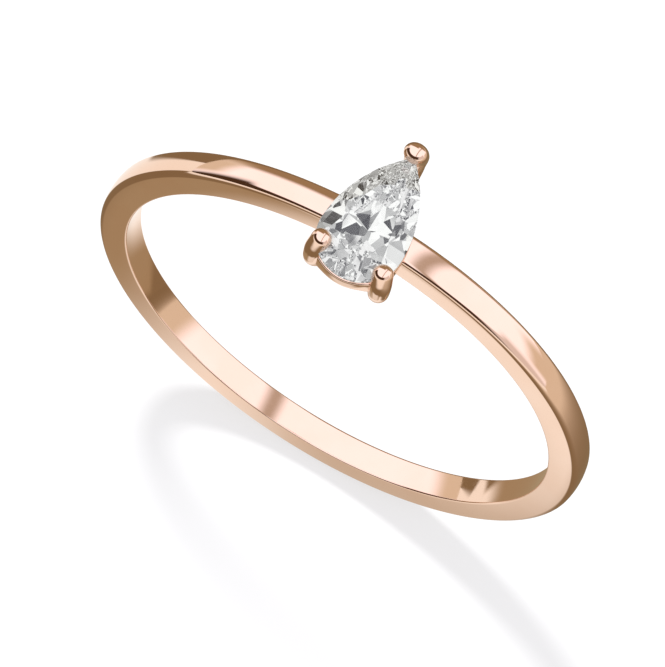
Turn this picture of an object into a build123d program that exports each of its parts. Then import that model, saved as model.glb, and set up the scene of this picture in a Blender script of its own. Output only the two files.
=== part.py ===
from build123d import *
import math
import os

# Solitaire ring in millimetres. The origin is the centre of the finger hole.
# +Z runs up through the stone, +Y runs along the finger towards the stone's point,
# and +X runs along the band.

# Shank
finger_radius = 8.46
band_width = 1.10
band_thickness = 1.17
band_dome = 0.09
outer_edge_radius = 0.17
inner_edge_radius = 0.07

# Pear-shaped stone: a half-round end, two wing arcs and one point
stone_length = 5.0
stone_width = 3.0
stone_centre_y = -0.37
girdle_z = 11.20
girdle_thickness = 0.10
crown_height = 0.45
pavilion_depth = 1.25
table_ratio = 0.57
keel_from_round_centre = 0.50
# Directions that the main facets face, in degrees from +X
main_facet_angles = [0, 23, 90, 157, 180, 225, 270, 315]
half_facet_shares = (0.25, 0.75)
half_facet_steepness = 1.24
star_facet_steepness = 0.58
star_reach = 0.93
lower_half_steepness = 1.055
# No pavilion facet is flatter than this, so the stone keeps a keel up to its point.
pavilion_min_slope = 0.745

# Gallery rail: a pear-shaped loop just under the girdle that the stone beds into
rail_outer_inset = 0.0
rail_inner_inset = 0.34
rail_bottom_below_girdle = 0.70
rail_height = 0.50
rail_tip_radius = 0.14
rail_inner_tip_radius = 0.10
rail_edge_radius = 0.10

# Prongs: each is a claw that leaves the collar low, turns up, stands and leans over the girdle
prong_foot_radius = 0.24
prong_widest_share = 0.55
prong_start_angle = 0.0
prong_flare_radius = 7.0
prong_flare_end_angle = 12.0
prong_turn_radius = 0.72
round_prong_start_z = 9.74
round_prong_post = 0.28
round_prong_radii = (prong_foot_radius, 0.345, 0.325)
round_bead_radius = 0.335
round_prong_foot = (0.34, -0.28)
round_prong_bulge_radius = 1.58
round_prong_bulge_angle = 38.0
# Both round-end prongs stand this far to +X of the stone's centre line, as set by hand.
round_prong_shift_x = 0.09
round_prong_lean_angle = 114.0
round_prong_neck_length = 0.33
tip_prong_start_z = 9.60
tip_prong_post = 0.40
tip_prong_radii = (prong_foot_radius, 0.37, 0.35)
tip_bead_radius = 0.36
tip_prong_foot_y = 0.28
tip_prong_bulge_past_tip = 0.27
tip_prong_lean_angle = 114.0
tip_prong_neck_length = 0.42

# Collar and peg that fix the head to the shank
collar_length = 1.90
collar_width = 1.04
collar_top_z = 9.98
collar_bottom_z = 9.30
collar_edge_radius = 0.18
peg_radius = 0.30
peg_bottom_z = 8.90
peg_top_z = 10.00
peg_edge_radius = 0.06

round_radius = stone_width / 2
tip_reach = stone_length - round_radius
wing_radius = (round_radius**2 + tip_reach**2) / (2 * round_radius)
wing_offset = wing_radius - round_radius
round_centre_y = stone_centre_y - stone_length / 2 + round_radius
keel_y = round_centre_y + keel_from_round_centre
girdle_top_z = girdle_z + girdle_thickness / 2
girdle_bottom_z = girdle_z - girdle_thickness / 2
band_outer_radius = finger_radius + band_thickness


def pear_face(inset):
    """The stone's outline moved inwards by inset, on the XY plane."""
    end_radius = round_radius - inset
    side_radius = wing_radius - inset
    tip = math.sqrt(side_radius**2 - wing_offset**2)
    half_turn = math.degrees(math.atan2(tip, wing_offset)) / 2
    mid_x = side_radius * math.cos(math.radians(half_turn)) - wing_offset
    mid_y = side_radius * math.sin(math.radians(half_turn))
    round_end = ThreePointArc((-end_radius, 0), (0, -end_radius), (end_radius, 0))
    right_wing = ThreePointArc((end_radius, 0), (mid_x, mid_y), (0, tip))
    left_wing = ThreePointArc((0, tip), (-mid_x, mid_y), (-end_radius, 0))
    return Pos(0, round_centre_y) * make_face([round_end, right_wing, left_wing])


def soft_pear_face(inset, tip_radius):
    """The same outline with its point rounded."""
    face = pear_face(inset)
    point = face.vertices().sort_by(Axis.Y)[-1]
    return fillet(point, tip_radius)


def contact_point(angle):
    """Where a line whose normal points along angle touches the stone's outline."""
    turn = angle % 360
    point_angle = math.degrees(math.atan2(tip_reach, wing_offset))
    if turn > 180:
        x = round_radius * math.cos(math.radians(turn))
        y = round_radius * math.sin(math.radians(turn))
    elif turn <= point_angle:
        x = wing_radius * math.cos(math.radians(turn)) - wing_offset
        y = wing_radius * math.sin(math.radians(turn))
    elif turn >= 180 - point_angle:
        x = wing_radius * math.cos(math.radians(turn)) + wing_offset
        y = wing_radius * math.sin(math.radians(turn))
    else:
        x = 0
        y = tip_reach
    return x, y + round_centre_y


def reach_from_keel(angle):
    x, y = contact_point(angle)
    turn = math.radians(angle)
    return x * math.cos(turn) + (y - keel_y) * math.sin(turn)


def facet_cut(stone, angle, slope, distance, height, side):
    """Cut one flat facet. It faces along angle, leans by slope (a tangent), and crosses
    the given height at the given distance from the keel. side is 1 above, -1 below."""
    turn = math.radians(angle)
    lean = math.atan(slope)
    normal = (
        math.sin(lean) * math.cos(turn),
        math.sin(lean) * math.sin(turn),
        side * math.cos(lean),
    )
    place = (distance * math.cos(turn), keel_y + distance * math.sin(turn), height)
    return split(stone, bisect_by=Plane(origin=place, z_dir=normal), keep=Keep.BOTTOM)


def make_diamond():
    outline = pear_face(0)
    bottom_z = girdle_bottom_z - pavilion_depth
    stone = Pos(0, 0, bottom_z) * extrude(
        outline, pavilion_depth + girdle_thickness + crown_height
    )
    for number, angle in enumerate(main_facet_angles):
        next_angle = main_facet_angles[(number + 1) % len(main_facet_angles)]
        gap = (next_angle - angle) % 360
        reach = reach_from_keel(angle)
        crown_slope = crown_height / ((1 - table_ratio) * reach)
        stone = facet_cut(stone, angle, crown_slope, reach, girdle_top_z, 1)
        pavilion_slope = max(pavilion_depth / reach, pavilion_min_slope)
        stone = facet_cut(stone, angle, pavilion_slope, reach, girdle_bottom_z, -1)
        star_angle = angle + gap / 2
        star_reach_out = reach_from_keel(star_angle)
        star_slope = star_facet_steepness * crown_height / ((1 - table_ratio) * star_reach_out)
        star_distance = table_ratio * star_reach * star_reach_out
        stone = facet_cut(
            stone, star_angle, star_slope, star_distance, girdle_top_z + crown_height, 1
        )
        for share in half_facet_shares:
            half_angle = angle + gap * share
            half_reach = reach_from_keel(half_angle)
            upper_slope = half_facet_steepness * crown_height / ((1 - table_ratio) * half_reach)
            lower_slope = max(pavilion_depth / half_reach, pavilion_min_slope) * lower_half_steepness
            stone = facet_cut(stone, half_angle, upper_slope, half_reach, girdle_top_z, 1)
            stone = facet_cut(stone, half_angle, lower_slope, half_reach, girdle_bottom_z, -1)
    return stone


def make_shank():
    half = band_width / 2
    shoulder_radius = band_outer_radius - band_dome
    profile = make_face(
        [
            Line((finger_radius, -half), (shoulder_radius, -half)),
            ThreePointArc((shoulder_radius, -half), (band_outer_radius, 0), (shoulder_radius, half)),
            Line((shoulder_radius, half), (finger_radius, half)),
            Line((finger_radius, half), (finger_radius, -half)),
        ]
    )
    corners = profile.vertices().sort_by(Axis.X)
    profile = fillet(corners[2:], outer_edge_radius)
    profile = fillet(profile.vertices().sort_by(Axis.X)[:2], inner_edge_radius)
    # The quarter turn puts the seam of the band opposite the stone.
    return Rot(0, 90, 0) * revolve(profile, Axis.Y)


def make_collar():
    blank = extrude(Ellipse(collar_length / 2, collar_width / 2), collar_top_z - collar_bottom_z)
    blank = Pos(0, 0, collar_bottom_z) * blank
    top_edge = blank.edges().group_by(Axis.Z)[-1]
    return fillet(top_edge, collar_edge_radius)


def make_peg():
    standing = (Align.CENTER, Align.CENTER, Align.MIN)
    blank = Cylinder(peg_radius, peg_top_z - peg_bottom_z, align=standing)
    blank = Pos(0, 0, peg_bottom_z) * blank
    return fillet(blank.edges().group_by(Axis.Z)[-1], peg_edge_radius)


def make_rail():
    ring = soft_pear_face(rail_outer_inset, rail_tip_radius)
    hole = soft_pear_face(rail_inner_inset, rail_inner_tip_radius)
    bottom_z = girdle_z - rail_bottom_below_girdle
    rail = Pos(0, 0, bottom_z) * extrude(ring - hole, rail_height)
    flat_edges = rail.edges().group_by(Axis.Z)
    return fillet(flat_edges[0] + flat_edges[-1], rail_edge_radius)


def make_prong(foot, bulge, start_z, post, lean_angle, neck_length, radii, bead_radius):
    """One claw, in the upright plane that holds its foot and its widest point."""
    run_x = bulge[0] - foot[0]
    run_y = bulge[1] - foot[1]
    start = math.radians(prong_start_angle)
    flare_turn = prong_flare_end_angle - prong_start_angle
    flare = JernArc((0, 0), (math.cos(start), math.sin(start)), prong_flare_radius, flare_turn)
    turn = JernArc(flare @ 1, flare % 1, prong_turn_radius, 90 - prong_flare_end_angle)
    upright = Line(turn @ 1, turn @ 1 + (turn % 1) * post)
    lean = JernArc(upright @ 1, upright % 1, prong_turn_radius, lean_angle - 90)
    neck = Line(lean @ 1, lean @ 1 + (lean % 1) * neck_length)
    shift = math.hypot(run_x, run_y) - (turn @ 1).X
    foot_point = (foot[0], foot[1], start_z)
    plane = Plane(origin=foot_point, x_dir=(run_x, run_y, 0), z_dir=(run_y, -run_x, 0))
    path = plane * Pos(shift, 0) * (Curve() + [flare, turn, upright, lean, neck])
    sections = []
    for share, radius in zip((0.0, prong_widest_share, 1.0), radii):
        sections.append(Plane(origin=path @ share, z_dir=path % share) * Circle(radius))
    bead = Pos(*(path @ 1)) * Sphere(bead_radius)
    return sweep(sections, path=path, multisection=True) + bead


def pieces():
    shank = make_shank()
    collar = make_collar()
    peg = make_peg()
    diamond = make_diamond()
    rail = make_rail() - diamond
    shank = shank - peg
    collar = collar - peg - shank
    angle = math.radians(round_prong_bulge_angle)
    side_x = round_prong_bulge_radius * math.cos(angle)
    side_y = round_centre_y - round_prong_bulge_radius * math.sin(angle)
    tip_y = round_centre_y + tip_reach + tip_prong_bulge_past_tip
    foot_x, foot_y = round_prong_foot
    prongs = {}
    for name, side in (("round_end_prong_left", -1), ("round_end_prong_right", 1)):
        prongs[name] = make_prong(
            foot=(side * foot_x, foot_y),
            bulge=(side * side_x + round_prong_shift_x, side_y),
            start_z=round_prong_start_z,
            post=round_prong_post,
            lean_angle=round_prong_lean_angle,
            neck_length=round_prong_neck_length,
            radii=round_prong_radii,
            bead_radius=round_bead_radius,
        )
    prongs["tip_prong"] = make_prong(
        foot=(0, tip_prong_foot_y),
        bulge=(0, tip_y),
        start_z=tip_prong_start_z,
        post=tip_prong_post,
        lean_angle=tip_prong_lean_angle,
        neck_length=tip_prong_neck_length,
        radii=tip_prong_radii,
        bead_radius=tip_bead_radius,
    )
    result = {
        "shank": shank,
        "head_collar": collar,
        "head_peg": peg,
        "gallery_rail": rail,
        "pear_diamond": diamond,
    }
    for name, prong in prongs.items():
        for neighbour in (shank, collar, peg, rail, diamond):
            prong = prong - neighbour
        result[name] = prong
    return result


os.makedirs("parts", exist_ok=True)
for name, piece in pieces().items():
    print(name, piece.is_valid, round(piece.volume, 4), len(piece.solids()))
    piece.label = name
    export_step(piece, f"parts/{name}.step")
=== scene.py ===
import math

import bmesh
import bpy
from mathutils import Matrix, Vector


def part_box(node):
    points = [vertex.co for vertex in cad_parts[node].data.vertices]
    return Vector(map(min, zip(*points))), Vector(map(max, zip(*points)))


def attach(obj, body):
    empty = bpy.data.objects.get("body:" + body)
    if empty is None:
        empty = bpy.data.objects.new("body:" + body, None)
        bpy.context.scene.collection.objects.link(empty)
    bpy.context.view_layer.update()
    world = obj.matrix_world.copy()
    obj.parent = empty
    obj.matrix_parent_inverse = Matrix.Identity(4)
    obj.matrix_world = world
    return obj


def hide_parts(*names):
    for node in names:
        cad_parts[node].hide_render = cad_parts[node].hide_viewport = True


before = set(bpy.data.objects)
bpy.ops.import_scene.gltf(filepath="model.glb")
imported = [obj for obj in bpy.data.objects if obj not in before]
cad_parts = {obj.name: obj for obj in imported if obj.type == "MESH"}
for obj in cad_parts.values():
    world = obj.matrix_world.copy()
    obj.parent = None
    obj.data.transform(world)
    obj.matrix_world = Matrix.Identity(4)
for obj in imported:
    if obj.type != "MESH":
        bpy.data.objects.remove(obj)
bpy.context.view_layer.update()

mm = 0.001
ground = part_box("shank")[0][2]  # the band stands on the floor


def newNode(tree, kind, **values):
    node = tree.nodes.new(kind)
    for name, value in values.items():
        setattr(node, name, value)
    return node


def feed(tree, socket, value):
    if isinstance(value, bpy.types.NodeSocket):
        tree.links.new(value, socket)
    else:
        socket.default_value = value


def sums(tree, operation, *values, clamp=False):
    node = newNode(tree, "ShaderNodeMath", operation=operation, use_clamp=clamp)
    for socket, value in zip(node.inputs, values):
        feed(tree, socket, value)
    return node.outputs[0]


def ramp(tree, value, low, high, outLow=0.0, outHigh=1.0):
    node = newNode(tree, "ShaderNodeMapRange", interpolation_type="SMOOTHSTEP")
    for socket, given in zip(node.inputs, (value, low, high, outLow, outHigh)):
        feed(tree, socket, given)
    return node.outputs[0]


def blendColour(tree, share, first, second):
    node = newNode(tree, "ShaderNodeMix", data_type="RGBA")
    feed(tree, node.inputs[0], share)
    feed(tree, node.inputs[6], first)
    feed(tree, node.inputs[7], second)
    return node.outputs[2]


def finishPiece(name, bm, node, sharpAngle=35.0):
    bmesh.ops.remove_doubles(bm, verts=bm.verts, dist=1e-5)
    bmesh.ops.recalc_face_normals(bm, faces=bm.faces)
    bmesh.ops.scale(bm, vec=(mm, mm, mm), verts=bm.verts)
    for face in bm.faces:
        face.smooth = True
    for edge in bm.edges:
        if len(edge.link_faces) == 2 and edge.calc_face_angle(0) > math.radians(sharpAngle):
            edge.smooth = False
    mesh = bpy.data.meshes.new(name)
    bm.to_mesh(mesh)
    bm.free()
    piece = bpy.data.objects.new(name, mesh)
    bpy.context.scene.collection.objects.link(piece)
    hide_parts(node)
    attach(piece, "root")
    return piece


def looseObject(name, bm):
    mesh = bpy.data.meshes.new(name)
    bm.to_mesh(mesh)
    item = bpy.data.objects.new(name, mesh)
    bpy.context.scene.collection.objects.link(item)
    return item


def carve(bm, cutter):
    blank = looseObject("blank", bm)
    cut = blank.modifiers.new("seat", "BOOLEAN")
    cut.operation = "DIFFERENCE"
    cut.solver = "EXACT"
    cut.object = cutter
    ready = bpy.context.evaluated_depsgraph_get()
    left = bpy.data.meshes.new_from_object(blank.evaluated_get(ready))
    bm.clear()
    bm.from_mesh(left)
    bpy.data.objects.remove(blank)


# Band
band = {
    "fingerRadius": 8.46,
    "thickness": 1.17,
    "width": 1.10,
    "dome": 0.09,
    "outerEdge": 0.17,
    "innerEdge": 0.07,
    "outerSteps": 10,
    "innerSteps": 6,
    "crownCuts": 11,
    "turns": 480,
}


def makeBand():
    bm = bmesh.new()
    shoulder = band["thickness"] - band["dome"]
    half = band["width"] / 2
    bmesh.ops.create_grid(bm, x_segments=1, y_segments=1, size=0.5)
    bmesh.ops.scale(bm, vec=(shoulder, band["width"], 1), verts=bm.verts)
    middle = band["fingerRadius"] + shoulder / 2
    bmesh.ops.translate(bm, vec=(middle, 0, 0), verts=bm.verts)
    for side, edgeRadius, steps in ((1, band["outerEdge"], band["outerSteps"]),
                                    (-1, band["innerEdge"], band["innerSteps"])):
        corners = [v for v in bm.verts if side * (v.co.x - middle) > shoulder * 0.4]
        corners = [v for v in corners if abs(v.co.y) > half * 0.999]
        bmesh.ops.bevel(bm, geom=corners, offset=edgeRadius, segments=steps, profile=0.5,
                        affect="VERTICES", material=-1)
    outerX = band["fingerRadius"] + shoulder
    faceEdge = [e for e in bm.edges if all(abs(v.co.x - outerX) < 1e-5 for v in e.verts)]
    longest = max(faceEdge, key=lambda e: e.calc_length())
    bmesh.ops.subdivide_edges(bm, edges=[longest], cuts=band["crownCuts"])
    for v in bm.verts:
        if v.co.x > middle:  # crown the outside
            share = min(1.0, (v.co.x - middle) / (shoulder / 2 - band["outerEdge"]))
            v.co.x += band["dome"] * (1 - (v.co.y / half) ** 2) * share
    bmesh.ops.delete(bm, geom=bm.faces[:], context="FACES_ONLY")
    bmesh.ops.spin(bm, geom=bm.verts[:] + bm.edges[:], cent=(0, 0, 0), axis=(0, 1, 0),
                   angle=math.tau, steps=band["turns"], use_merge=True)
    return finishPiece("band", bm, "shank")


# Stone: a half-round end, two wing arcs and one point
stone = {
    "length": 5.0,
    "width": 3.0,
    "centreY": -0.37,
    "girdleZ": 11.20,
    "girdle": 0.10,
    "crown": 0.45,
    "pavilion": 1.25,
    "table": 0.57,
    "keel": 0.50,
    "mains": (0, 23, 90, 157, 180, 225, 270, 315),
    "halfSteep": 1.24,
    "starSteep": 0.58,
    "starReach": 0.93,
    "lowerSteep": 1.055,
    "flattest": 0.745,
    "seatGap": 0.004,
}
roundRadius = stone["width"] / 2
tipReach = stone["length"] - roundRadius
wingRadius = (roundRadius**2 + tipReach**2) / (2 * roundRadius)
wingOffset = wingRadius - roundRadius
roundY = stone["centreY"] - stone["length"] / 2 + roundRadius
keelY = roundY + stone["keel"]
pointAngle = math.atan2(tipReach, wingOffset)


def pearWire(bm, inset, tipRadius, height, roundSteps=96, wingSteps=72, tipSteps=14):
    endRadius = roundRadius - inset
    tipY = math.sqrt((wingRadius - inset - tipRadius) ** 2 - wingOffset**2)
    halfTurn = math.atan2(tipY, wingOffset)
    last = [bm.verts.new((-endRadius, roundY, height))]
    arcs = [(0, roundY, math.pi, roundSteps), (-wingOffset, roundY, halfTurn, wingSteps),
            (wingOffset, roundY, halfTurn, wingSteps)]
    if tipRadius:
        arcs.insert(2, (0, roundY + tipY, math.pi - 2 * halfTurn, tipSteps))
    for x, y, turn, steps in arcs:
        swept = bmesh.ops.spin(bm, geom=last, cent=(x, y, height), axis=(0, 0, 1), angle=turn,
                               steps=steps)
        last = [g for g in swept["geom_last"] if isinstance(g, bmesh.types.BMVert)]
    bmesh.ops.remove_doubles(bm, verts=bm.verts, dist=1e-3)


def contactPoint(angle):
    turn = angle % math.tau
    if turn > math.pi:
        return roundRadius * math.cos(turn), roundRadius * math.sin(turn) + roundY
    if turn <= pointAngle:
        return wingRadius * math.cos(turn) - wingOffset, wingRadius * math.sin(turn) + roundY
    if turn >= math.pi - pointAngle:
        return wingRadius * math.cos(turn) + wingOffset, wingRadius * math.sin(turn) + roundY
    return 0.0, tipReach + roundY


def reachFromKeel(angle):
    x, y = contactPoint(angle)
    return x * math.cos(angle) + (y - keelY) * math.sin(angle)


def grind(bm, angle, slope, distance, height, side, grow):
    lean = math.atan(slope)
    normal = Vector((math.sin(lean) * math.cos(angle), math.sin(lean) * math.sin(angle),
                     side * math.cos(lean)))
    place = Vector((distance * math.cos(angle), keelY + distance * math.sin(angle), height))
    cut = bmesh.ops.bisect_plane(bm, geom=bm.verts[:] + bm.edges[:] + bm.faces[:], dist=1e-6,
                                 plane_co=place + normal * grow, plane_no=normal,
                                 clear_outer=True)
    rim = [g for g in cut["geom_cut"] if isinstance(g, bmesh.types.BMEdge)]
    if rim:
        bmesh.ops.contextual_create(bm, geom=rim)


def cutStone(grow=0.0):
    bm = bmesh.new()
    girdleTop = stone["girdleZ"] + stone["girdle"] / 2
    girdleLow = stone["girdleZ"] - stone["girdle"] / 2
    bottom = girdleLow - stone["pavilion"] - grow
    top = girdleTop + stone["crown"] + grow
    pearWire(bm, -grow, 0, bottom)
    bmesh.ops.contextual_create(bm, geom=bm.edges[:])
    wall = bmesh.ops.extrude_face_region(bm, geom=bm.faces[:])
    raised = [g for g in wall["geom"] if isinstance(g, bmesh.types.BMVert)]
    bmesh.ops.translate(bm, vec=(0, 0, top - bottom), verts=raised)
    mains = [math.radians(a) for a in stone["mains"]]
    slopeShare = 1 - stone["table"]
    for number, angle in enumerate(mains):
        gap = (mains[(number + 1) % len(mains)] - angle) % math.tau
        reach = reachFromKeel(angle)
        grind(bm, angle, stone["crown"] / (slopeShare * reach), reach, girdleTop, 1, grow)
        grind(bm, angle, max(stone["pavilion"] / reach, stone["flattest"]), reach, girdleLow,
              -1, grow)
        starAngle = angle + gap / 2
        starOut = reachFromKeel(starAngle)
        grind(bm, starAngle, stone["starSteep"] * stone["crown"] / (slopeShare * starOut),
              stone["table"] * stone["starReach"] * starOut, girdleTop + stone["crown"], 1,
              grow)
        for share in (0.25, 0.75):
            half = angle + gap * share
            out = reachFromKeel(half)
            grind(bm, half, stone["halfSteep"] * stone["crown"] / (slopeShare * out), out,
                  girdleTop, 1, grow)
            steep = max(stone["pavilion"] / out, stone["flattest"]) * stone["lowerSteep"]
            grind(bm, half, steep, out, girdleLow, -1, grow)
    bmesh.ops.remove_doubles(bm, verts=bm.verts, dist=1e-4)
    bmesh.ops.dissolve_degenerate(bm, dist=1e-5, edges=bm.edges)
    bmesh.ops.recalc_face_normals(bm, faces=bm.faces)
    return bm


def makeStone():
    return finishPiece("pear_stone", cutStone(), "pear_diamond", sharpAngle=4.0)


# Gallery rail, swept as loops round its section and swelling where it meets a claw
rail = {
    "wall": 0.34,
    "low": 0.70,
    "height": 0.50,
    "outerTip": 0.14,
    "innerTip": 0.10,
    "edge": 0.10,
    "edgeSteps": 6,
    "webDrop": 0.30,
    "webOut": 0.05,
    "webReach": 0.50,
}


def makeRail(seat, clawPlaces):
    bm = bmesh.new()
    low = stone["girdleZ"] - rail["low"]
    edge, steps = rail["edge"], rail["edgeSteps"]
    section = []  # inset and height of each loop, round the four corners
    for inset, height, start in ((edge, edge, 180), (edge, rail["height"] - edge, 90),
                                 (rail["wall"] - edge, rail["height"] - edge, 0),
                                 (rail["wall"] - edge, edge, -90)):
        for step in range(steps + 1):
            turn = math.radians(start + 90 * (1 - step / steps))
            section.append((inset + edge * math.cos(turn), height + edge * math.sin(turn)))
    for number, (inset, height) in enumerate(section):
        share = inset / rail["wall"]
        tip = rail["outerTip"] + (rail["innerTip"] - rail["outerTip"]) * share
        pearWire(bm, inset, tip, float(number))
    loops = [[e for e in bm.edges if round(e.verts[0].co.z) == number]
             for number in range(len(section))]
    for number, loop in enumerate(loops):
        bmesh.ops.bridge_loops(bm, edges=loop + loops[number - 1])
    for v in bm.verts:
        inset, height = section[round(v.co.z)]
        v.co.z = low + height
        near = min((Vector(place) - v.co.xy).length for place in clawPlaces)
        web = math.exp(-((near / rail["webReach"]) ** 2)) * (1 - inset / rail["wall"])
        v.co.z -= rail["webDrop"] * web * (1 - height / rail["height"])
        away = Vector((v.co.x, v.co.y - roundY, 0)).normalized()
        v.co += away * rail["webOut"] * web
    carve(bm, seat)
    return finishPiece("rail", bm, "gallery_rail")


# Claws
clawBend = {
    "sides": 56,
    "widestAt": 0.55,
    "flareRadius": 7.0,
    "flareTurn": 12.0,
    "turnRadius": 0.72,
    "flareSteps": 12,
    "turnSteps": 26,
    "postSteps": 6,
    "leanSteps": 10,
    "neckSteps": 8,
    "capSteps": 16,
    "swellFrom": 0.82,
    "spreadBelow": 0.9,
    "spreadRise": 0.8,
}
roundClaw = {
    "startZ": 9.74,
    "post": 0.28,
    "radii": (0.24, 0.345, 0.325),
    "bead": 0.335,
    "foot": (0.34, -0.28),
    "bulge": 1.58,
    "angle": 38.0,
    "shiftX": 0.09,
    "lean": 114.0,
    "neck": 0.33,
    "spread": 1.06,
}
tipClaw = {
    "startZ": 9.60,
    "post": 0.40,
    "radii": (0.24, 0.37, 0.35),
    "bead": 0.36,
    "footY": 0.28,
    "pastTip": 0.27,
    "lean": 114.0,
    "neck": 0.42,
    "spread": 1.16,
}


def girth(share, radii):
    places = (0.0, clawBend["widestAt"], 1.0)
    total = 0.0
    for here, radius in zip(places, radii):  # the parabola through the three radii
        part = radius
        for other in places:
            if other != here:
                part *= (share - other) / (here - other)
        total += part
    return total


def makeClaw(name, node, foot, bulge, look, seat):
    foot = Vector(foot).to_3d()
    run = Vector(bulge).to_3d() - foot
    outward = run.normalized()
    side = Vector((outward.y, -outward.x, 0))
    upright = Vector((0, 0, 1))

    def aim(angle):
        return outward * math.cos(math.radians(angle)) + upright * math.sin(math.radians(angle))

    flareTurn = clawBend["flareTurn"]
    flareOut = clawBend["flareRadius"] * math.sin(math.radians(flareTurn))
    turnOut = clawBend["turnRadius"] * (1 - math.sin(math.radians(flareTurn)))
    here = foot + outward * (run.length - flareOut - turnOut) + upright * look["startZ"]
    legs = (  # radius or 0 for straight, turn or length, steps
        (clawBend["flareRadius"], flareTurn, clawBend["flareSteps"]),
        (clawBend["turnRadius"], 90 - flareTurn, clawBend["turnSteps"]),
        (0, look["post"], clawBend["postSteps"]),
        (clawBend["turnRadius"], look["lean"] - 90, clawBend["leanSteps"]),
        (0, look["neck"], clawBend["neckSteps"]),
    )
    whole = sum(r * math.radians(size) if r else size for r, size, steps in legs)
    bm = bmesh.new()
    bmesh.ops.create_circle(bm, cap_ends=True, radius=1.0, segments=clawBend["sides"])
    facing = aim(0).to_track_quat("Z", "Y").to_matrix()
    bmesh.ops.rotate(bm, cent=(0, 0, 0), matrix=facing, verts=bm.verts)
    bmesh.ops.translate(bm, vec=here, verts=bm.verts)
    ring, edges = bm.verts[:], bm.edges[:]
    rings = [(0.0, here.copy(), ring)]
    heading, walked = 0.0, 0.0
    for radius, size, steps in legs:
        centre = here + aim(heading + 90) * radius
        for number in range(steps):
            if radius:
                step = math.radians(size / steps)
                swept = bmesh.ops.spin(bm, geom=edges + ring, cent=centre, axis=side, angle=step,
                                       steps=1)["geom_last"]
                here = centre + Matrix.Rotation(step, 3, side) @ (here - centre)
                heading += size / steps
                walked += radius * step
            else:
                swept = bmesh.ops.extrude_edge_only(bm, edges=edges)["geom"]
                moved = [g for g in swept if isinstance(g, bmesh.types.BMVert)]
                bmesh.ops.translate(bm, vec=aim(heading) * size / steps, verts=moved)
                here = here + aim(heading) * size / steps
                walked += size / steps
            ring = [g for g in swept if isinstance(g, bmesh.types.BMVert)]
            edges = [g for g in swept if isinstance(g, bmesh.types.BMEdge)
                     and all(v in ring for v in g.verts)]
            rings.append((walked / whole, here.copy(), ring))
    for share, centre, verts in rings:
        swell = max(0.0, (share - clawBend["swellFrom"]) / (1 - clawBend["swellFrom"]))
        size = girth(share, look["radii"])
        size += (look["bead"] - look["radii"][2]) * swell**2 * (3 - 2 * swell)
        for v in verts:
            v.co = centre + (v.co - centre) * size
    steps = clawBend["capSteps"]
    for number in range(steps):  # the rounded end, loop by loop
        before, after = (math.pi / 2 * (number + k) / steps for k in (0, 1))
        rise = (math.sin(after) - math.sin(before)) * look["bead"]
        swept = bmesh.ops.extrude_edge_only(bm, edges=edges)["geom"]
        ring = [g for g in swept if isinstance(g, bmesh.types.BMVert)]
        edges = [g for g in swept if isinstance(g, bmesh.types.BMEdge)
                 and all(v in ring for v in g.verts)]
        bmesh.ops.translate(bm, vec=aim(heading) * rise, verts=ring)
        here = here + aim(heading) * rise
        for v in ring:
            v.co = here + (v.co - here) * math.cos(after) / math.cos(before)
    bmesh.ops.pointmerge(bm, verts=ring, merge_co=here)
    shoulder = stone["girdleZ"] - clawBend["spreadBelow"]
    for v in bm.verts:  # the head spreads sideways over the stone
        rise = min(1.0, max(0.0, (v.co.z - shoulder) / clawBend["spreadRise"]))
        across = (v.co - here).dot(side)
        v.co += side * across * (look["spread"] - 1) * rise**2 * (3 - 2 * rise)
    carve(bm, seat)
    return finishPiece(name, bm, node)


# Collar under the head
collar = {
    "length": 1.90,
    "width": 1.04,
    "top": 9.98,
    "edge": 0.18,
    "sunk": 0.08,
    "sides": 96,
    "edgeSteps": 10,
}


def makeCollar():
    bm = bmesh.new()
    bmesh.ops.create_circle(bm, cap_ends=True, radius=0.5, segments=collar["sides"])
    bmesh.ops.scale(bm, vec=(collar["length"], collar["width"], 1), verts=bm.verts)
    up = bmesh.ops.extrude_face_region(bm, geom=bm.faces[:])
    raised = [g for g in up["geom"] if isinstance(g, bmesh.types.BMVert)]
    bmesh.ops.translate(bm, vec=(0, 0, collar["top"]), verts=raised)
    outer = band["fingerRadius"] + band["thickness"] - band["dome"]
    for v in bm.verts:
        if v.co.z < 1:  # the underside follows the band, a little inside it
            v.co.z = math.sqrt(outer**2 - v.co.x**2) - collar["sunk"]
    rim = [e for e in bm.edges if all(abs(v.co.z - collar["top"]) < 1e-6 for v in e.verts)]
    bmesh.ops.bevel(bm, geom=rim, offset=collar["edge"], segments=collar["edgeSteps"],
                    profile=0.5, affect="EDGES", material=-1)
    return finishPiece("collar", bm, "head_collar")


# Rose gold, polished, with a faint change of tone and the finest of polishing marks
goldLook = {
    "colour": (0.905, 0.655, 0.52),
    "deep": (0.89, 0.63, 0.49),
    "toneScale": 420,
    "roughness": (0.035, 0.075),
    "markScale": 9000,
    "bump": 0.010,
    "bumpDepth": 0.00001,
}


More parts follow.
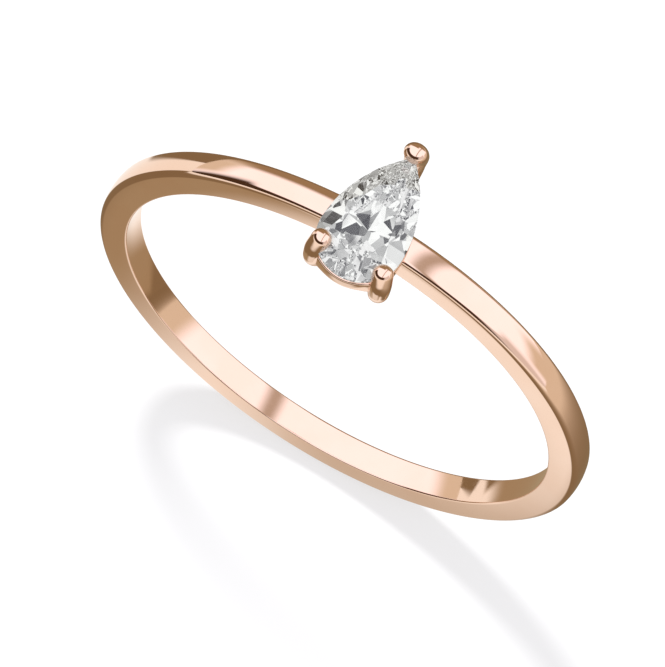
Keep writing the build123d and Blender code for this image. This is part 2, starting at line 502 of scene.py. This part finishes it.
def makeGold():
    look = bpy.data.materials.new("rose_gold_polish")
    look.use_nodes = True
    tree = look.node_tree
    shader = tree.nodes["Principled BSDF"]
    place = newNode(tree, "ShaderNodeTexCoord")
    broad = newNode(tree, "ShaderNodeTexNoise")
    feed(tree, broad.inputs["Vector"], place.outputs["Object"])
    broad.inputs["Scale"].default_value = goldLook["toneScale"]
    broad.inputs["Detail"].default_value = 3
    tone = ramp(tree, broad.outputs["Fac"], 0.35, 0.65)
    feed(tree, shader.inputs["Base Color"],
         blendColour(tree, tone, (*goldLook["colour"], 1), (*goldLook["deep"], 1)))
    fine = newNode(tree, "ShaderNodeTexNoise")
    feed(tree, fine.inputs["Vector"], place.outputs["Object"])
    fine.inputs["Scale"].default_value = goldLook["markScale"]
    fine.inputs["Detail"].default_value = 2
    low, high = goldLook["roughness"]
    feed(tree, shader.inputs["Roughness"], ramp(tree, fine.outputs["Fac"], 0.3, 0.7, low, high))
    relief = newNode(tree, "ShaderNodeBump")
    relief.inputs["Strength"].default_value = goldLook["bump"]
    relief.inputs["Distance"].default_value = goldLook["bumpDepth"]
    feed(tree, relief.inputs["Height"], fine.outputs["Fac"])
    feed(tree, shader.inputs["Normal"], relief.outputs["Normal"])
    shader.inputs["Metallic"].default_value = 1.0
    return look


# Clear stone, with its surface shine held down
clearLook = {
    "colour": (0.99, 0.99, 0.985, 1),
    "refraction": 2.417,
    "shine": (0.40, 0.40, 0.41, 1),
}


def makeStoneLook():
    look = bpy.data.materials.new("polished_stone")
    look.use_nodes = True
    tree = look.node_tree
    shader = tree.nodes["Principled BSDF"]
    shader.inputs["Base Color"].default_value = clearLook["colour"]
    shader.inputs["Transmission Weight"].default_value = 1.0
    shader.inputs["IOR"].default_value = clearLook["refraction"]
    shader.inputs["Roughness"].default_value = 0.0
    shader.inputs["Specular Tint"].default_value = clearLook["shine"]
    return look


# Studio: plain white to the camera, but reflections see two windows overhead and dark cards in the
# sky, and a glowing floor painted with bright patches and painted shade round the ring and under
# it
studio = {
    "window": (1.34, 1.34, 1.48),
    "side": (0.78, 0.69, 0.56),
    "card": (0.36, 0.26, 0.15),
    "slot": (0.07, 0.038, 0.02),
    # glowing floor colours that only reflections see: a painted reflection, bright where lit, with
    # painted shade in tan and deep brown
    "floorPaintedGlow": (1.04, 1.03, 0.99),
    "floorPaintedShade": (0.40, 0.31, 0.19),
    "floorPaintedDeepShade": (0.25, 0.18, 0.10),
    "shadowFrom": (-0.51, 0.41, 1.0),
    "keySpread": 10,
    "keyPower": 4.0,
    "paper": (0.22, 0.22, 0.22, 1),
    "paperGlow": (0.66, 0.66, 0.66, 1),
    # the floor's glow seen only through the stone: painted glints, random dark gaps and bright
    # patches
    "glintDark": (0.12, 0.12, 0.12, 1),
    "glintLight": (0.88, 0.88, 0.87, 1),
    "glintScale": 160,
    "sparkScale": 5.5,
    "spark": (0.99, 1.0, 0.98, 1),
    "floorSize": 3,
}


def cover(tree, below, amount, colour):
    return blendColour(tree, amount, below, (*colour, 1))


def both(tree, first, *others):
    for other in others:
        first = sums(tree, "MULTIPLY", first, other)
    return first


def either(tree, first, second):
    return sums(tree, "MAXIMUM", first, second)


def pickByRay(tree, ray, other, chosen):
    path = newNode(tree, "ShaderNodeLightPath")
    pick = newNode(tree, "ShaderNodeMixShader")
    feed(tree, pick.inputs[0], path.outputs[ray])
    feed(tree, pick.inputs[1], other)
    feed(tree, pick.inputs[2], chosen)
    return pick.outputs[0]


def makeWorld():
    world = bpy.data.worlds.new("studio")
    bpy.context.scene.world = world
    world.use_nodes = True
    tree = world.node_tree
    tree.nodes.clear()
    out = newNode(tree, "ShaderNodeOutputWorld")
    place = newNode(tree, "ShaderNodeTexCoord")
    parts = newNode(tree, "ShaderNodeSeparateXYZ")
    feed(tree, parts.inputs[0], place.outputs["Generated"])
    x, y, z = parts.outputs
    overhead = ramp(tree, z, 0.40, 0.52)
    offGap = sums(tree, "ABSOLUTE", sums(tree, "SUBTRACT", x, 0.29))  # between the windows
    gap = ramp(tree, offGap, 0.01, 0.12, 0.8, 0.0)
    seen = cover(tree, (*studio["window"], 1), both(tree, overhead, gap), studio["card"])
    front = both(tree, ramp(tree, z, 0.56, 0.46), ramp(tree, y, 0.22, 0.0))
    darkFront = both(tree, front, ramp(tree, x, 0.55, 0.80, 1.0, 0.0))
    rightFront = both(tree, front, ramp(tree, x, 0.55, 0.80, 0.0, 0.55))
    seen = cover(tree, seen, darkFront, studio["slot"])
    seen = cover(tree, seen, rightFront, studio["card"])
    leftBack = both(tree, ramp(tree, x, 0.15, -0.10), ramp(tree, y, 0.50, 0.62))
    seen = cover(tree, seen, leftBack, studio["card"])
    seen = cover(tree, seen, ramp(tree, y, 0.74, 0.86), studio["card"])
    sideways = ramp(tree, sums(tree, "ABSOLUTE", x), 0.70, 0.86)
    low = both(tree, ramp(tree, z, 0.32, 0.12), ramp(tree, y, 0.12, 0.26))
    seen = cover(tree, seen, both(tree, sideways, low), studio["side"])
    glow = newNode(tree, "ShaderNodeBackground")
    feed(tree, glow.inputs["Color"], seen)
    # light that leaves the stone sees many small lights and dark gaps instead
    cells = newNode(tree, "ShaderNodeTexNoise")
    feed(tree, cells.inputs["Vector"], place.outputs["Generated"])
    cells.inputs["Scale"].default_value = studio["sparkScale"]
    cells.inputs["Detail"].default_value = 4
    cells.inputs["Roughness"].default_value = 0.55
    fac = cells.outputs["Fac"]
    spread = sums(tree, "ADD", ramp(tree, fac, 0.37, 0.46, 0.01, 0.46),
                  ramp(tree, fac, 0.49, 0.58, 0.0, 1.1))
    spark = newNode(tree, "ShaderNodeBackground")
    feed(tree, spark.inputs["Color"], blendColour(tree, spread, (0, 0, 0, 1), studio["spark"]))
    plain = newNode(tree, "ShaderNodeBackground")
    plain.inputs["Color"].default_value = (1, 1, 1, 1)
    unseen = pickByRay(tree, "Is Transmission Ray", glow.outputs[0], spark.outputs[0])
    feed(tree, out.inputs["Surface"], pickByRay(tree, "Is Camera Ray", unseen, plain.outputs[0]))


def span(tree, value, low, high):
    return ramp(tree, value, low * mm, high * mm)


def makeFloor():
    bm = bmesh.new()
    bmesh.ops.create_grid(bm, x_segments=1, y_segments=1, size=studio["floorSize"])
    bmesh.ops.translate(bm, vec=(0, 0, ground), verts=bm.verts)
    mesh = bpy.data.meshes.new("floor")
    bm.to_mesh(mesh)
    bm.free()
    floor = bpy.data.objects.new("floor", mesh)
    bpy.context.scene.collection.objects.link(floor)
    look = bpy.data.materials.new("floor_paper")
    look.use_nodes = True
    tree = look.node_tree
    tree.nodes.clear()
    out = newNode(tree, "ShaderNodeOutputMaterial")
    place = newNode(tree, "ShaderNodeTexCoord")
    parts = newNode(tree, "ShaderNodeSeparateXYZ")
    feed(tree, parts.inputs[0], place.outputs["Object"])
    x, y = parts.outputs[:2]
    # only reflections see this: a painted reflection, glowing bright in front of the ring and
    # behind it to the left, and painted shade in tan and deeper brown elsewhere
    slant = sums(tree, "MULTIPLY_ADD", y, 0.42, x)
    dip = both(tree, span(tree, x, -5, 1.5), span(tree, y, -6.5, -1.0), 0.62)
    front = both(tree, span(tree, slant, -11.5, -4.2), span(tree, x, 11, 8.5),
                 span(tree, y, -12, -9.5), span(tree, y, 2.0, -0.4),
                 sums(tree, "SUBTRACT", 1.0, dip))
    back = both(tree, span(tree, x, -1.0, -6.5), span(tree, y, 2.0, 4.2))
    strip = both(tree, span(tree, sums(tree, "ABSOLUTE", x), 8, 3.5), span(tree, y, -9.8, -11),
                 span(tree, y, -18, -14), 0.8)
    beyond = both(tree, span(tree, sums(tree, "MULTIPLY_ADD", x, 0.42, y), -1, 3),
                  span(tree, y, 9.5, 11))
    behindHead = both(tree, span(tree, y, 5.2, 6.5), span(tree, x, -9, -6))
    back = both(tree, back, sums(tree, "SUBTRACT", 1.0, beyond),
                sums(tree, "SUBTRACT", 1.0, behindHead))
    far = span(tree, y, -40, -70)
    paintedBright = either(tree, either(tree, front, strip), either(tree, back, far))
    # deeper painted shade to both sides, far in front and behind the head
    deep = either(tree, span(tree, x, 6, 12), span(tree, x, -10.4, -14))
    deep = either(tree, deep, span(tree, y, -9, -16))
    deep = either(tree, deep, both(tree, behindHead, 0.9))
    # painted shade for the rest of the floor, with a paler tone far to the right; the floor glows
    # with it though no lamp lights it
    paintedFloorShade = blendColour(tree, deep, (*studio["floorPaintedShade"], 1), (*studio["floorPaintedDeepShade"], 1))
    paintedFloorShade = cover(tree, paintedFloorShade, span(tree, x, 10, 75), studio["side"])
    paintedReflection = newNode(tree, "ShaderNodeEmission")
    feed(tree, paintedReflection.inputs["Color"], blendColour(tree, paintedBright, paintedFloorShade, (*studio["floorPaintedGlow"], 1)))
    # rays leaving the stone see the floor glow in random dark and bright patches: painted glints
    # for the stone
    glintNoise = newNode(tree, "ShaderNodeTexNoise")
    feed(tree, glintNoise.inputs["Vector"], place.outputs["Object"])
    glintNoise.inputs["Scale"].default_value = studio["glintScale"]
    glintNoise.inputs["Detail"].default_value = 3
    under = newNode(tree, "ShaderNodeEmission")
    glintShare = ramp(tree, glintNoise.outputs["Fac"], 0.38, 0.60)
    feed(tree, under.inputs["Color"],
         blendColour(tree, glintShare, studio["glintDark"], studio["glintLight"]))
    paper = newNode(tree, "ShaderNodeBsdfDiffuse")
    paper.inputs["Color"].default_value = studio["paper"]
    base = newNode(tree, "ShaderNodeEmission")
    base.inputs["Color"].default_value = studio["paperGlow"]
    pale = newNode(tree, "ShaderNodeAddShader")
    feed(tree, pale.inputs[0], paper.outputs[0])
    feed(tree, pale.inputs[1], base.outputs[0])
    unseen = pickByRay(tree, "Is Transmission Ray", paintedReflection.outputs[0], under.outputs[0])
    feed(tree, out.inputs["Surface"], pickByRay(tree, "Is Camera Ray", unseen, pale.outputs[0]))
    floor.data.materials.append(look)


def makeKey():
    toward = Vector(studio["shadowFrom"]).normalized()
    light = bpy.data.lights.new("key", "SUN")
    light.angle = math.radians(studio["keySpread"])
    light.energy = studio["keyPower"]
    lamp = bpy.data.objects.new("key", light)
    lamp.rotation_euler = toward.to_track_quat("Z", "Y").to_euler()
    lamp.visible_glossy = False  # it only throws the floor shadow
    lamp.visible_transmission = False
    bpy.context.scene.collection.objects.link(lamp)


camera = {
    "elevation": 66.95,
    "roll": 32.82,
    "turn": 6.5,
    "distance": 0.1692,
    "lens": 262.3,
    "film": 36,
    "shift": (-0.01454, 0.01109),
}


def makeCamera():
    e, roll, turn = (math.radians(camera[k]) for k in ("elevation", "roll", "turn"))
    back = Vector((math.sin(e) * math.sin(turn), -math.cos(e), math.sin(e) * math.cos(turn)))
    right = Vector((math.cos(turn), 0, -math.sin(turn)))
    up = back.cross(right)
    across = right * math.cos(roll) + up * math.sin(roll)
    upright = up * math.cos(roll) - right * math.sin(roll)
    eye = bpy.data.cameras.new("camera")
    eye.lens = camera["lens"]
    eye.sensor_width = camera["film"]
    eye.sensor_height = camera["film"]
    eye.shift_x, eye.shift_y = camera["shift"]
    eye.clip_start = 0.001
    eye.clip_end = 20
    view = bpy.data.objects.new("camera", eye)
    turned = Matrix((across, upright, back)).transposed().to_4x4()
    view.matrix_world = Matrix.Translation(back * camera["distance"]) @ turned
    bpy.context.scene.collection.objects.link(view)
    bpy.context.scene.camera = view


def linkMaterial(piece, look):
    piece.data.materials.clear()
    piece.data.materials.append(look)


gold = makeGold()
stoneLook = makeStoneLook()
print("looks made")
bandPiece = makeBand()
print("band made")
stonePiece = makeStone()
print("stone cut", len(stonePiece.data.polygons))
seat = looseObject("seat_cutter", cutStone(stone["seatGap"]))
clawTurn = math.radians(roundClaw["angle"])
sideX = roundClaw["bulge"] * math.cos(clawTurn)
sideY = roundY - roundClaw["bulge"] * math.sin(clawTurn)
footX, footY = roundClaw["foot"]
leftPlace = (roundClaw["shiftX"] - sideX, sideY)
rightPlace = (roundClaw["shiftX"] + sideX, sideY)
tipPlace = (0, roundY + tipReach + tipClaw["pastTip"])
railPiece = makeRail(seat, [leftPlace, rightPlace, tipPlace])
print("rail made", len(railPiece.data.polygons))
claws = [
    makeClaw("claw_left", "round_end_prong_left", (-footX, footY), leftPlace, roundClaw, seat),
    makeClaw("claw_right", "round_end_prong_right", (footX, footY), rightPlace, roundClaw, seat),
    makeClaw("claw_tip", "tip_prong", (0, tipClaw["footY"]), tipPlace, tipClaw, seat),
]
bpy.data.objects.remove(seat)
print("claws made")
collarPiece = makeCollar()
print("collar made")
for piece in [bandPiece, railPiece, collarPiece, *claws]:
    linkMaterial(piece, gold)
    piece.visible_transmission = False  # the stone stays clear of warm reflections
linkMaterial(stonePiece, stoneLook)
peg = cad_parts["head_peg"]
for place in peg.material_slots:
    place.material = gold
peg.visible_transmission = False
makeWorld()
makeFloor()
makeKey()
makeCamera()
scene = bpy.context.scene
scene.view_settings.view_transform = "Standard"
scene.cycles.max_bounces = 32
scene.cycles.glossy_bounces = 24
scene.cycles.transmission_bounces = 32
print("studio ready")
